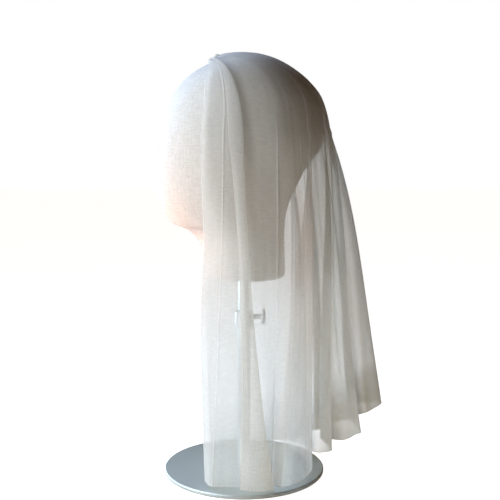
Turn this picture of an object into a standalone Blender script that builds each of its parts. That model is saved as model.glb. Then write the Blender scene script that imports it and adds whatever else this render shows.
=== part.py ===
"""A bridal veil on a head form stand, as solids for the CAD step.

Metres, +Z up. The face of the head form looks to -Y, the veil trails to +Y, and +X is the
head's left side, which the photograph shows. The origin is the centre of the base plate's
underside, on the axis of the post.
"""

import bisect
import math

import bmesh
import bpy
import mathutils

# Stand
PLATE_RADIUS = 0.100
PLATE_THICKNESS = 0.005
PLATE_EDGE = 0.0012
GAP = 0.0003
LOWER_TUBE_RADIUS = 0.008
LOWER_TUBE_BORE = 0.0068
LOWER_TUBE_TOP = 0.2020
UPPER_TUBE_RADIUS = 0.0065
UPPER_TUBE_BORE = 0.0050
UPPER_TUBE_BOTTOM = 0.030
COLLAR_RADIUS = 0.011
COLLAR_BOTTOM = 0.1828
COLLAR_TOP = 0.2028
SCREW_HOLE_START = 0.004
SCREW_HOLE_END = 0.020
CLAMP_HEIGHT = 0.1959
CLAMP_STEM_RADIUS = 0.003
CLAMP_STEM_INNER_END = 0.0089
CLAMP_KNOB_RADIUS = 0.0095
CLAMP_KNOB_START = 0.0221
CLAMP_KNOB_END = 0.0265
SOCKET_DEPTH = 0.040
CLAMP_KNOB_EDGE = 0.0010
PLATE_SIDES = 64
ROUND_SIDES = 40
SCREW_SIDES = 20

# Head form: a row for each level, from the crown to the underside
HEAD_ROWS = (
    # height, front, back, half width
    (0.5130, -0.0040, -0.0040, 0.0000),
    (0.5117, -0.0205, 0.0152, 0.0195),
    (0.5083, -0.0315, 0.0297, 0.0345),
    (0.5026, -0.0427, 0.0440, 0.0470),
    (0.4930, -0.0600, 0.0597, 0.0597),
    (0.4800, -0.0745, 0.0752, 0.0693),
    (0.4600, -0.0875, 0.0897, 0.0762),
    (0.4277, -0.0979, 0.0966, 0.0795),
    (0.4028, -0.1023, 0.0930, 0.0780),
    (0.3793, -0.1043, 0.0755, 0.0735),
    (0.3515, -0.1037, 0.0612, 0.0665),
    (0.3332, -0.1004, 0.0540, 0.0605),
    (0.3204, -0.0942, 0.0508, 0.0560),
    (0.3116, -0.0855, 0.0500, 0.0530),
    (0.3060, -0.0720, 0.0497, 0.0510),
    (0.2970, -0.0602, 0.0496, 0.0495),
    (0.2840, -0.0525, 0.0497, 0.0488),
    (0.2650, -0.0485, 0.0502, 0.0485),
    (0.2515, -0.0468, 0.0505, 0.0485),
)
HEAD_BOTTOM = 0.2465
HEAD_CORNER = 0.005
HEAD_EGG = 0.10
HEAD_SIDES = 40
HEAD_CENTRE = mathutils.Vector((0.0, -0.003, 0.4277))
HEAD_REACH_LEAST = 0.02
HEAD_REACH_MOST = 0.16
CLOTH_SOFTNESS = 0.002

# Veil: a row for each fold, from the cut edge on the near side to the middle of the back.
# turn is the fold's direction from the head's middle at the brow, in degrees from +X
# towards +Y. bow swings it back over the crown. lift is its height over the head at the brow,
# stack its extra height at the heading, and knee its y at knee height.
VEIL_COLUMNS = ("turn", "bow", "lift", "stack", "knee", "hem_x", "hem_y", "hem_z")
VEIL_FOLDS = {
    "cut_edge": (-9.0, 0.0, 0.0080, 0.0056, -0.0015, 0.0985, -0.0040, 0.0120),
    "top_layer": (-4.0, -2.0, 0.0083, 0.0057, 0.0070, 0.1040, 0.0170, 0.0120),
    "over_c": (0.8, -5.0, 0.0080, 0.0055, 0.0146, 0.1005, 0.0335, 0.0120),
    "fold_c": (1.8, -5.0, 0.0066, 0.0042, 0.0158, 0.0970, 0.0354, 0.0120),
    "under_c": (0.6, -5.0, 0.0052, 0.0028, 0.0140, 0.0942, 0.0320, 0.0122),
    "middle_layer": (-5.5, 0.0, 0.0050, 0.0027, -0.0040, 0.0915, 0.0020, 0.0124),
    "crease_b": (-12.6, 4.0, 0.0053, 0.0029, -0.0288, 0.0893, -0.0362, 0.0122),
    "over_a": (-29.4, 2.0, 0.0051, 0.0028, -0.0474, 0.0745, -0.0447, 0.0120),
    "fold_a": (-30.6, 2.0, 0.0036, 0.0014, -0.0491, 0.0705, -0.0450, 0.0120),
    "under_a": (-29.1, 2.0, 0.0023, 0.0000, -0.0465, 0.0675, -0.0415, 0.0124),
    "inner_front": (-13.0, 0.0, 0.0023, 0.0000, -0.0150, 0.0700, -0.0130, 0.0126),
    "inner_middle": (4.0, 0.0, 0.0024, 0.0000, 0.0110, 0.0765, 0.0140, 0.0124),
    "crease_d": (27.3, 0.0, 0.0034, 0.0000, 0.0375, 0.0835, 0.0330, 0.0121),
    "crease_g": (36.0, 0.0, 0.0028, 0.0000, 0.0558, 0.0898, 0.0437, 0.0120),
    "side_panel": (40.0, 1.0, 0.0027, 0.0000, 0.0640, 0.0850, 0.0587, 0.0134),
    "crease_e": (44.5, 2.0, 0.0036, 0.0000, 0.0724, 0.0748, 0.0735, 0.0180),
    "fold_f": (51.0, 4.0, 0.0046, 0.0002, 0.0788, 0.0610, 0.0806, 0.0240),
    "return_1": (53.0, 4.0, 0.0036, 0.0001, 0.0740, 0.0330, 0.0700, 0.0310),
    "valley_1": (54.7, 4.0, 0.0025, 0.0000, 0.0550, -0.0010, 0.0480, 0.0365),
    "valley_1_back": (56.7, 4.0, 0.0025, 0.0000, 0.0590, -0.0030, 0.0540, 0.0370),
    "rise_1": (59.0, 4.0, 0.0032, 0.0001, 0.0750, 0.0160, 0.0725, 0.0375),
    "tube_1_start": (61.5, 3.0, 0.0045, 0.0002, 0.0850, 0.0425, 0.0845, 0.0378),
    "tube_1": (65.0, 2.0, 0.0048, 0.0003, 0.0950, 0.0475, 0.0955, 0.0385),
    "tube_1_edge": (69.0, 2.0, 0.0048, 0.0002, 0.1030, 0.0425, 0.1070, 0.0410),
    "valley_2": (71.5, 1.0, 0.0028, 0.0000, 0.0920, 0.0120, 0.0950, 0.0450),
    "valley_2_back": (73.7, 1.0, 0.0028, 0.0000, 0.0960, 0.0110, 0.1000, 0.0460),
    "tube_2_start": (76.5, 0.0, 0.0052, 0.0002, 0.1035, 0.0325, 0.1110, 0.0490),
    "tube_2": (80.0, 0.0, 0.0062, 0.0003, 0.1095, 0.0345, 0.1245, 0.0503),
    "tube_2_crease": (83.5, 0.0, 0.0067, 0.0003, 0.1150, 0.0300, 0.1372, 0.0550),
    "tube_2_edge": (87.0, 0.0, 0.0071, 0.0003, 0.1290, 0.0260, 0.1435, 0.0580),
    "valley_3": (89.3, 0.0, 0.0034, 0.0001, 0.1220, 0.0010, 0.1310, 0.0670),
    "valley_3_back": (91.3, 0.0, 0.0034, 0.0001, 0.1260, 0.0000, 0.1360, 0.0690),
    "back_start": (94.0, 0.0, 0.0070, 0.0003, 0.1380, 0.0180, 0.1465, 0.0775),
    "back_panel": (97.0, 0.0, 0.0077, 0.0004, 0.1500, 0.0110, 0.1585, 0.0800),
    "back_point": (102.0, 0.0, 0.0079, 0.0004, 0.1592, -0.0060, 0.1735, 0.0850),
}
FAR_SIDE_STOPS_AT = "fold_a"
FAR_SIDE_LEAVES_OUT = ("under_a", "side_panel", "tube_1", "tube_2")
FAR_SIDE_TURN_SCALE = 0.81
FAR_SIDE_TURN_STEP = 11.0
FAR_SIDE_DEPTH = 0.026
FAR_SIDE_HEM_DROP = 0.0045
FAR_SIDE_DEPTH_SCALE = 0.62
FAR_SIDE_UNEVEN = 0.08
FAR_SIDE_UNEVEN_WAVE = (0.45, 0.6)
FAR_SIDE_SHIFT = 0.004
FAR_SIDE_SHIFT_WAVE = 0.6
FAR_SIDE_PLEAT_SCALE = 0.75
LEAST_LIFT = 0.0023
BROW_HEIGHT = 0.4277
KNEE_HEIGHT = 0.170
CROWN_RISE = 1.0
CROWN_EASE = 4.0
BELLY = 0.0175
NECK_TUCK = 0.014
NECK_HEIGHT = 0.300
NECK_SPREAD = 0.055
GATHER_HALF_WIDTH = 0.034
GATHER_FRONT = -0.0370
GATHER_DEPTH = 0.010
GATHER_START_ANGLE = -8.0
GATHER_LIFT = 0.0034
CLOTH_WALL = 0.0012

# Heading and comb
HEADING_HALF_WIDTH = 0.0026
HEADING_HALF_HEIGHT = 0.0017
HEADING_LIFT = 0.0039
HEADING_NEAR_RISE = 0.0026
HEADING_NEAR_SHARE = 0.22
HEADING_END = 0.01
HEADING_END_SCALES = (0.45, 0.85)
HEADING_INSET = HEADING_HALF_WIDTH + GAP + CLOTH_WALL / 4.0
HEADING_STEPS = 24
HEADING_SIDES = 10
COMB_SPINE_RADIUS = 0.0008
COMB_LIFT = 0.0011
COMB_END = 0.04
COMB_STEPS = 18
COMB_SIDES = 8
COMB_TEETH = 12
COMB_TOOTH_LENGTH = 0.036
COMB_TOOTH_STEPS = 5
COMB_TOOTH_LIFT = 0.0009
COMB_TOOTH_HALF_WIDTH = 0.0007
COMB_TOOTH_HALF_HEIGHT = 0.0004
COMB_SPREAD = 0.10
COMB_TOOTH_SIDES = 4

# How finely the veil's solid is drawn
VEIL_STEPS_PER_FOLD = 2
VEIL_CROWN_STEPS = 9
VEIL_DROP_STEPS = 12


def make_material(name, colour, roughness, metallic):
    """A Principled material with one colour."""
    material = bpy.data.materials.new(name)
    material.use_nodes = True
    shader = material.node_tree.nodes["Principled BSDF"]
    shader.inputs["Base Color"].default_value = (*colour, 1.0)
    shader.inputs["Roughness"].default_value = roughness
    shader.inputs["Metallic"].default_value = metallic
    material.diffuse_color = (*colour, 1.0)
    return material


def make_object(name, vertices, faces, material, parent=None, smooth_angle=40.0):
    """A mesh object from vertices in world places, with its faces turned outwards."""
    mesh = bpy.data.meshes.new(name)
    mesh.from_pydata([tuple(vertex) for vertex in vertices], [], faces)
    shell = bmesh.new()
    shell.from_mesh(mesh)
    bmesh.ops.recalc_face_normals(shell, faces=shell.faces)
    shell.to_mesh(mesh)
    shell.free()
    mesh.materials.append(material)
    mesh.shade_smooth()
    mesh.set_sharp_from_angle(angle=math.radians(smooth_angle))
    made = bpy.data.objects.new(name, mesh)
    bpy.context.collection.objects.link(made)
    if parent is not None:
        made.parent = parent
        made.matrix_parent_inverse = parent.matrix_world.inverted()
    return made


def make_empty(name, place, parent=None):
    """An empty on a joint's axis."""
    empty = bpy.data.objects.new(name, None)
    bpy.context.collection.objects.link(empty)
    empty.location = place
    if parent is not None:
        empty.parent = parent
        empty.matrix_parent_inverse = parent.matrix_world.inverted()
    bpy.context.view_layer.update()
    return empty


def bridge_rings(rings, close_loop=False, cap_start=True, cap_end=True):
    """Vertices and faces of a skin through rings that all have as many points."""
    sides = len(rings[0])
    vertices = [point for ring in rings for point in ring]
    faces = []
    last = len(rings) if close_loop else len(rings) - 1
    for level in range(last):
        this_ring = level * sides
        next_ring = ((level + 1) % len(rings)) * sides
        for side in range(sides):
            other = (side + 1) % sides
            faces.append((this_ring + side, this_ring + other, next_ring + other, next_ring + side))
    if not close_loop and cap_start:
        faces.append(tuple(reversed(range(sides))))
    if not close_loop and cap_end:
        faces.append(tuple((len(rings) - 1) * sides + side for side in range(sides)))
    return vertices, faces


def turned_rings(profile, sides, axis="Z", centre=(0.0, 0.0, 0.0)):
    """Rings round an axis, one for each (radius, distance along the axis) of the profile."""
    rings = []
    for radius, along in profile:
        ring = []
        for side in range(sides):
            angle = 2.0 * math.pi * side / sides
            across, up = radius * math.cos(angle), radius * math.sin(angle)
            point = (across, up, along) if axis == "Z" else (across, along, up)
            ring.append(tuple(start + step for start, step in zip(centre, point)))
        rings.append(ring)
    return rings


def smooth_between(values, position):
    """The value at a position along a list, on a Catmull-Rom curve through its values."""
    last = len(values) - 1
    index = min(int(position), last - 1)
    share = position - index
    before = values[max(index - 1, 0)]
    start, end = values[index], values[index + 1]
    after = values[min(index + 2, last)]
    curve = 2.0 * start + (end - before) * share
    curve += (2.0 * before - 5.0 * start + 4.0 * end - after) * share ** 2
    curve += (3.0 * start - before - 3.0 * end + after) * share ** 3
    return 0.5 * curve


def finer_head_levels(steps=6):
    """The head form's rows with smooth levels between them, sorted by height."""
    columns = list(zip(*HEAD_ROWS))
    count = (len(HEAD_ROWS) - 1) * steps
    levels = [
        tuple(smooth_between(column, index / steps) for column in columns) for index in range(count + 1)
    ]
    return sorted(levels)


HEAD_LEVELS = finer_head_levels()
HEAD_HEIGHTS = [level[0] for level in HEAD_LEVELS]


def head_section(height):
    """Front, back and half width of the head form at a height."""
    place = bisect.bisect_left(HEAD_HEIGHTS, height)
    if place == 0:
        return HEAD_LEVELS[0][1:]
    if place == len(HEAD_LEVELS):
        return HEAD_LEVELS[-1][1:]
    low, high = HEAD_LEVELS[place - 1], HEAD_LEVELS[place]
    share = (height - low[0]) / max(high[0] - low[0], 1e-9)
    return tuple(a + (b - a) * share for a, b in zip(low[1:], high[1:]))


def head_outline_point(front, back, half_width, angle):
    """A point of the head's egg shaped section; angle 0 is the back, 90 degrees is +X."""
    middle, half_depth = (front + back) / 2.0, (back - front) / 2.0
    width = half_width * (1.0 + HEAD_EGG * math.cos(angle))
    return width * math.sin(angle), middle + half_depth * math.cos(angle)


def in_head(point):
    """Whether a point lies inside the head form."""
    if point.z >= HEAD_HEIGHTS[-1]:
        return False
    front, back, half_width = head_section(point.z)
    middle, half_depth = (front + back) / 2.0, max((back - front) / 2.0, 1e-6)
    along = (point.y - middle) / half_depth
    if abs(along) >= 1.0:
        return False
    widest = half_width * (1.0 + HEAD_EGG * along) * math.sqrt(1.0 - along ** 2)
    return abs(point.x) < widest


def head_reach(direction):
    """Distance from the head's centre to its surface in a direction."""
    inside, outside = HEAD_REACH_LEAST, HEAD_REACH_MOST
    for _ in range(26):
        middle = (inside + outside) / 2.0
        if in_head(HEAD_CENTRE + direction * middle):
            inside = middle
        else:
            outside = middle
    return inside


def lift_off_head(point, lift):
    """The point, moved out from the head's centre until it clears the surface by the lift."""
    offset = point - HEAD_CENTRE
    direction = offset.normalized()
    least = head_reach(direction) + lift
    extra = offset.length - least
    if extra > 4.0 * CLOTH_SOFTNESS:
        return point
    eased = CLOTH_SOFTNESS * math.log(1.0 + math.exp(extra / CLOTH_SOFTNESS))
    return HEAD_CENTRE + direction * (least + eased)


def veil_fold_rows():
    """Every fold's row as a dictionary, round the veil from one cut edge to the other."""
    rows = {name: dict(zip(VEIL_COLUMNS, row)) for name, row in VEIL_FOLDS.items()}
    names = list(rows)
    last_turn = rows[names[-1]]["turn"]
    mirrored = [
        name for name in reversed(names[names.index(FAR_SIDE_STOPS_AT):-1]) if name not in FAR_SIDE_LEAVES_OUT
    ]
    far_rows = []
    wave_step, wave_start = FAR_SIDE_UNEVEN_WAVE
    for number, name in enumerate(mirrored):
        row = rows[name]
        uneven = 1.0 + FAR_SIDE_UNEVEN * math.sin(wave_step * number + wave_start)
        shift = FAR_SIDE_SHIFT * math.sin(FAR_SIDE_SHIFT_WAVE * number)
        far_turn = last_turn - FAR_SIDE_TURN_STEP / 2.0 - row["turn"]
        far_rows.append({
            "turn": last_turn + FAR_SIDE_TURN_STEP / 2.0 + far_turn * FAR_SIDE_TURN_SCALE,
            "bow": -row["bow"] * FAR_SIDE_TURN_SCALE,
            "lift": LEAST_LIFT + (row["lift"] - LEAST_LIFT) * FAR_SIDE_PLEAT_SCALE,
            "stack": 0.0,
            "knee": row["knee"] + shift,
            "hem_x": -(FAR_SIDE_DEPTH + FAR_SIDE_DEPTH_SCALE * row["hem_x"]) * uneven,
            "hem_y": row["hem_y"] + shift,
            "hem_z": row["hem_z"] - FAR_SIDE_HEM_DROP,
        })
    return list(rows.values()) + far_rows


def gather_curve(share, inset=0.0):
    """A place in plan on the curve of the heading, from the near end to the far end."""
    angle = math.radians(GATHER_START_ANGLE + (180.0 - 2.0 * GATHER_START_ANGLE) * share)
    x = (GATHER_HALF_WIDTH - inset) * math.cos(angle)
    y = GATHER_FRONT + (GATHER_DEPTH - inset) * math.sin(angle)
    return x, y


def head_top_at(x, y):
    """Direction from the head's centre to its surface right above a place in plan."""
    height = HEAD_ROWS[3][0]
    for _ in range(4):
        direction = (mathutils.Vector((x, y, height)) - HEAD_CENTRE).normalized()
        height = (HEAD_CENTRE + direction * head_reach(direction)).z
    return direction


def gather_place(row, first_turn, last_turn):
    """Direction and height over the head where a fold leaves the heading."""
    share = (row["turn"] - first_turn) / (last_turn - first_turn)
    return head_top_at(*gather_curve(share)), GATHER_LIFT + row["stack"]


def fold_path(row, first_turn, last_turn):
    """Points down one fold, from the heading over the head form to the hem."""
    start_direction, start_lift = gather_place(row, first_turn, last_turn)
    angle = math.radians(row["turn"])
    brow_direction = mathutils.Vector((math.cos(angle), math.sin(angle), 0.0))
    bowed = math.radians(row["turn"] + row["bow"])
    above_brow = mathutils.Vector((math.cos(bowed), math.sin(bowed), CROWN_RISE)).normalized()
    path = []
    for step in range(VEIL_CROWN_STEPS + 1):
        down = step / VEIL_CROWN_STEPS
        direction = start_direction * (1.0 - down) ** 2 + brow_direction * down ** 2
        direction = (direction + above_brow * 2.0 * down * (1.0 - down)).normalized()
        lift = start_lift + (row["lift"] - start_lift) * down ** CROWN_EASE
        path.append(HEAD_CENTRE + direction * (head_reach(direction) + lift))
    brow = path[-1]
    back_share = max(math.sin(angle), 0.0) ** 2
    front_share = max(-math.sin(angle), 0.0) ** 2
    for step in range(1, VEIL_DROP_STEPS + 1):
        drop = step / VEIL_DROP_STEPS
        height = BROW_HEIGHT + (row["hem_z"] - BROW_HEIGHT) * drop
        knee_share = (BROW_HEIGHT - KNEE_HEIGHT) / (BROW_HEIGHT - row["hem_z"])
        x = brow.x + (row["hem_x"] - brow.x) * drop
        y = through_three(drop, knee_share, brow.y, row["knee"], row["hem_y"])
        y += NECK_TUCK * front_share * math.exp(-((height - NECK_HEIGHT) / NECK_SPREAD) ** 2)
        bulge = BELLY * back_share * math.sin(math.pi * drop) * (1.0 - drop) ** 2
        point = mathutils.Vector((x + bulge * math.cos(angle), y + bulge * math.sin(angle), height))
        path.append(lift_off_head(point, row["lift"]))
    return path


def through_three(drop, knee_share, start, knee, end):
    """A smooth value along a drop that passes through three given values."""
    bow = knee - (start + (end - start) * knee_share)
    return start + (end - start) * drop + bow * (drop * (1.0 - drop)) / (knee_share * (1.0 - knee_share))


def veil_middle_surface():
    """The middle of the veil's cloth as rows of points, each from one cut edge to the other."""
    rows = veil_fold_rows()
    last = len(rows) - 1
    turns = [row["turn"] for row in rows]
    paths = [fold_path(row, min(turns), max(turns)) for row in rows]
    surface = []
    for level in zip(*paths):
        columns = [[point[axis] for point in level] for axis in range(3)]
        count = last * VEIL_STEPS_PER_FOLD
        surface.append([
            mathutils.Vector([smooth_between(column, index / VEIL_STEPS_PER_FOLD) for column in columns])
            for index in range(count + 1)
        ])
    return surface


def surface_normal(surface, level, column):
    """The surface's normal at one of its points."""
    up = surface[max(level - 1, 0)][column]
    down = surface[min(level + 1, len(surface) - 1)][column]
    left = surface[level][max(column - 1, 0)]
    right = surface[level][min(column + 1, len(surface[0]) - 1)]
    return (right - left).cross(down - up).normalized()


def build_veil_panel(material, parent):
    """The gathered cloth as a closed wall of even thickness."""
    surface = veil_middle_surface()
    levels, columns = len(surface), len(surface[0])
    vertices = []
    for side in (0.5, -0.5):
        for level in range(levels):
            for column in range(columns):
                offset = surface_normal(surface, level, column) * CLOTH_WALL * side
                vertices.append(surface[level][column] + offset)
    faces = []
    back = levels * columns
    for level in range(levels - 1):
        for column in range(columns - 1):
            a = level * columns + column
            b, c, d = a + 1, a + columns + 1, a + columns
            faces.append((a, b, c, d))
            faces.append((back + d, back + c, back + b, back + a))
    rim = list(range(columns))
    rim += [level * columns + columns - 1 for level in range(1, levels)]
    rim += [(levels - 1) * columns + column for column in range(columns - 2, -1, -1)]
    rim += [level * columns for level in range(levels - 2, 0, -1)]
    for index, start in enumerate(rim):
        end = rim[(index + 1) % len(rim)]
        faces.append((start, back + start, back + end, end))
    return make_object("veil_panel", vertices, faces, material, parent, smooth_angle=60.0)


def build_base_plate(material):
    """The round plate that the stand rests on, with a small bevel at both rims."""
    inner = PLATE_RADIUS - PLATE_EDGE
    profile = (
        (inner, 0.0),
        (PLATE_RADIUS, PLATE_EDGE),
        (PLATE_RADIUS, PLATE_THICKNESS - PLATE_EDGE),
        (inner, PLATE_THICKNESS),
    )
    return make_object("base_plate", *bridge_rings(turned_rings(profile, PLATE_SIDES)), material)


def build_pipe(name, outer, bore, bottom, top, material, parent=None):
    """A tube on the post's axis, open at both ends."""
    profile = ((outer, bottom), (outer, top), (bore, top), (bore, bottom))
    rings = turned_rings(profile, ROUND_SIDES)
    return make_object(name, *bridge_rings(rings, close_loop=True), material, parent, smooth_angle=30.0)


def build_clamp_collar(material):
    """The ring round the top of the lower tube, with a hole for the thumb screw."""
    bore = LOWER_TUBE_RADIUS + GAP
    collar = build_pipe("clamp_collar", COLLAR_RADIUS, bore, COLLAR_BOTTOM, COLLAR_TOP, material)
    hole_radius = CLAMP_STEM_RADIUS + GAP
    profile = ((hole_radius, SCREW_HOLE_START), (hole_radius, SCREW_HOLE_END))
    rings = turned_rings(profile, SCREW_SIDES, "Y", (0.0, 0.0, CLAMP_HEIGHT))
    cutter = make_object("screw_hole_cutter", *bridge_rings(rings), material)
    cutter.hide_render = True
    cutter.display_type = "WIRE"
    cut = collar.modifiers.new("screw_hole", "BOOLEAN")
    cut.operation = "DIFFERENCE"
    cut.solver = "EXACT"
    cut.object = cutter
    return collar


def build_clamp_knob(material, parent):
    """The thumb screw: a stem and a round head, turning on the Y axis."""
    rim = CLAMP_KNOB_RADIUS - CLAMP_KNOB_EDGE
    profile = (
        (CLAMP_STEM_RADIUS, CLAMP_STEM_INNER_END),
        (CLAMP_STEM_RADIUS, CLAMP_KNOB_START),
        (rim, CLAMP_KNOB_START),
        (CLAMP_KNOB_RADIUS, CLAMP_KNOB_START + CLAMP_KNOB_EDGE),
        (CLAMP_KNOB_RADIUS, CLAMP_KNOB_END - CLAMP_KNOB_EDGE),
        (rim, CLAMP_KNOB_END),
    )
    rings = turned_rings(profile, SCREW_SIDES, "Y", (0.0, 0.0, CLAMP_HEIGHT))
    return make_object("clamp_knob", *bridge_rings(rings), material, parent, smooth_angle=50.0)


def head_ring(height, front, back, half_width, inset=0.0):
    """A ring of the head form at a height, drawn in by the inset."""
    ring = []
    for side in range(HEAD_SIDES):
        angle = 2.0 * math.pi * side / HEAD_SIDES
        x, y = head_outline_point(front + inset, back - inset, half_width - inset, angle)
        ring.append((x, y, height))
    return ring


def build_head_form(material, parent):
    """The faceless head and neck as one block, with a blind socket for the upper tube."""
    rings = [head_ring(*row) for row in HEAD_ROWS[1:]]
    lowest = HEAD_ROWS[-1][1:]
    for angle in (30.0, 60.0, 90.0):
        inset = HEAD_CORNER * (1.0 - math.cos(math.radians(angle)))
        drop = HEAD_CORNER * math.sin(math.radians(angle))
        rings.append(head_ring(HEAD_BOTTOM + HEAD_CORNER - drop, *lowest, inset))
    socket = UPPER_TUBE_RADIUS + GAP
    mouth_turn = [
        (socket * math.sin(angle), socket * math.cos(angle))
        for angle in (2.0 * math.pi * side / HEAD_SIDES for side in range(HEAD_SIDES))
    ]
    for height in (HEAD_BOTTOM, HEAD_BOTTOM + SOCKET_DEPTH + GAP):
        rings.append([(x, y, height) for x, y in mouth_turn])
    vertices, faces = bridge_rings(rings, cap_start=False)
    crown = len(vertices)
    vertices.append((0.0, HEAD_ROWS[0][1], HEAD_ROWS[0][0]))
    faces += [(crown, (side + 1) % HEAD_SIDES, side) for side in range(HEAD_SIDES)]
    return make_object("head_form", vertices, faces, material, parent)


def over_head(x, y, lift):
    """The point at a lift over the head form, above a place in plan."""
    direction = head_top_at(x, y)
    return HEAD_CENTRE + direction * (head_reach(direction) + lift)


def swept_rings(path, width, height, sides):
    """Oval rings round a path that lies on the head, each square to the path."""
    rings = []
    for index, point in enumerate(path):
        ahead = path[min(index + 1, len(path) - 1)] - path[max(index - 1, 0)]
        out = (point - HEAD_CENTRE).normalized()
        across = ahead.cross(out).normalized()
        up = across.cross(ahead).normalized()
        if up.dot(out) < 0.0:
            up.negate()
        angles = [2.0 * math.pi * side / sides for side in range(sides)]
        rings.append([
            point + across * width * math.cos(angle) + up * height * math.sin(angle) for angle in angles
        ])
    return rings


def gather_share(step, steps, end):
    """The share along the heading's curve after some steps, with a piece left out at both ends."""
    return end + (1.0 - 2.0 * end) * step / steps


def heading_point(share):
    """A point of the heading's line, which rides up on the folded layers at its near end."""
    near = max(1.0 - share / HEADING_NEAR_SHARE, 0.0)
    rise = HEADING_NEAR_RISE * near ** 2 * (3.0 - 2.0 * near)
    return over_head(*gather_curve(share, HEADING_INSET), HEADING_LIFT + rise)


def build_veil_heading(material, parent):
    """The gathered edge, bound into a roll that follows the comb."""
    path = [heading_point(gather_share(step, HEADING_STEPS, HEADING_END)) for step in range(HEADING_STEPS + 1)]
    rings = swept_rings(path, HEADING_HALF_WIDTH, HEADING_HALF_HEIGHT, HEADING_SIDES)
    for index, scale in enumerate(HEADING_END_SCALES):
        for level in (index, HEADING_STEPS - index):
            rings[level] = [path[level] + (point - path[level]) * scale for point in rings[level]]
    return make_object("veil_heading", *bridge_rings(rings), material, parent, smooth_angle=60.0)


def build_comb(material, parent):
    """A hair comb: a round spine under the heading, and teeth that point back."""
    spine_path = [
        over_head(*gather_curve(gather_share(step, COMB_STEPS, COMB_END), HEADING_INSET), COMB_LIFT)
        for step in range(COMB_STEPS + 1)
    ]
    rings = swept_rings(spine_path, COMB_SPINE_RADIUS, COMB_SPINE_RADIUS, COMB_SIDES)
    comb = make_object("veil_comb", *bridge_rings(rings), material, parent)
    vertices, faces = [], []
    for tooth in range(COMB_TEETH):
        x, y = gather_curve(gather_share(tooth + 0.5, COMB_TEETH, COMB_END), HEADING_INSET)
        alongs = [step / COMB_TOOTH_STEPS for step in range(COMB_TOOTH_STEPS + 1)]
        path = [
            over_head(x * (1.0 + COMB_SPREAD * along), y + COMB_TOOTH_LENGTH * along, COMB_TOOTH_LIFT)
            for along in alongs
        ]
        tooth_rings = swept_rings(path, COMB_TOOTH_HALF_WIDTH, COMB_TOOTH_HALF_HEIGHT, COMB_TOOTH_SIDES)
        tooth_vertices, tooth_faces = bridge_rings(tooth_rings)
        start = len(vertices)
        vertices += tooth_vertices
        faces += [tuple(start + index for index in face) for face in tooth_faces]
    teeth = make_object("comb_teeth_joiner", vertices, faces, material)
    teeth.hide_render = True
    teeth.display_type = "WIRE"
    join = comb.modifiers.new("teeth", "BOOLEAN")
    join.operation = "UNION"
    join.solver = "EXACT"
    join.object = teeth
    return comb


def main():
    for existing in list(bpy.data.objects):
        bpy.data.objects.remove(existing, do_unlink=True)
    tulle = make_material("ivory_tulle", (0.88, 0.87, 0.83), 0.8, 0.0)
    binding = make_material("ivory_binding", (0.86, 0.85, 0.80), 0.75, 0.0)
    canvas = make_material("natural_canvas", (0.80, 0.77, 0.72), 0.9, 0.0)
    brushed = make_material("brushed_plate_steel", (0.48, 0.49, 0.49), 0.35, 1.0)
    plated = make_material("plated_tube_steel", (0.70, 0.70, 0.69), 0.2, 1.0)
    comb_metal = make_material("comb_wire_steel", (0.62, 0.62, 0.62), 0.25, 1.0)

    build_base_plate(brushed)
    lower_bottom = PLATE_THICKNESS + GAP
    build_pipe("lower_tube", LOWER_TUBE_RADIUS, LOWER_TUBE_BORE, lower_bottom, LOWER_TUBE_TOP, plated)
    build_clamp_collar(plated)
    clamp_axis = make_empty("clamp_axis", (0.0, CLAMP_KNOB_START, CLAMP_HEIGHT))
    build_clamp_knob(plated, clamp_axis)
    post_axis = make_empty("post_axis", (0.0, 0.0, LOWER_TUBE_TOP))
    upper_top = HEAD_BOTTOM + SOCKET_DEPTH
    build_pipe("upper_tube", UPPER_TUBE_RADIUS, UPPER_TUBE_BORE, UPPER_TUBE_BOTTOM, upper_top, plated, post_axis)
    swivel_axis = make_empty("swivel_axis", (0.0, 0.0, HEAD_BOTTOM), post_axis)
    build_head_form(canvas, swivel_axis)
    build_comb(comb_metal, swivel_axis)
    build_veil_heading(binding, swivel_axis)
    build_veil_panel(tulle, swivel_axis)


main()
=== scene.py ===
"""Looks of a bridal veil on a head form stand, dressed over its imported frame.

Metres, +Z up. The face of the head form looks to -Y, the veil trails to +Y, and the
photograph is taken from +X. Everything from the head form up turns with the body "head".
"""

import bisect
import math
import random

import bpy
import mathutils
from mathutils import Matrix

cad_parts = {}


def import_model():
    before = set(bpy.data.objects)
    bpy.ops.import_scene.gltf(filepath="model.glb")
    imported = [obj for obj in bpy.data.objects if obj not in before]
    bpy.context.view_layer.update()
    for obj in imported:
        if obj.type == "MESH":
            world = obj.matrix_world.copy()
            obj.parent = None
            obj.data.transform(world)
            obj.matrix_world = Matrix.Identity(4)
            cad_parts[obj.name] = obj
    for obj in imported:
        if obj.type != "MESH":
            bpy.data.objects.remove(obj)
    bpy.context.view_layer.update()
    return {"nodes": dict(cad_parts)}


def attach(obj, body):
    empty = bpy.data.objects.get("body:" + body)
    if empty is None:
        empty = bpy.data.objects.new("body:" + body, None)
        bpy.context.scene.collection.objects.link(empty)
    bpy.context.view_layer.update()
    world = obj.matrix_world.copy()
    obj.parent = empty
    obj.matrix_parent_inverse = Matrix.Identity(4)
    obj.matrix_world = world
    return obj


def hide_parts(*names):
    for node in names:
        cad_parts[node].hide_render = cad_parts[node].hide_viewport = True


# The photograph's place, dip in degrees, and lens and sensor width in millimetres
CAMERA_PLACE = (1.0961, 0.0076, 0.4157)
CAMERA_DIP = 7.12
CAMERA_LENS = 64.8
CAMERA_SENSOR = 36.0

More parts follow.
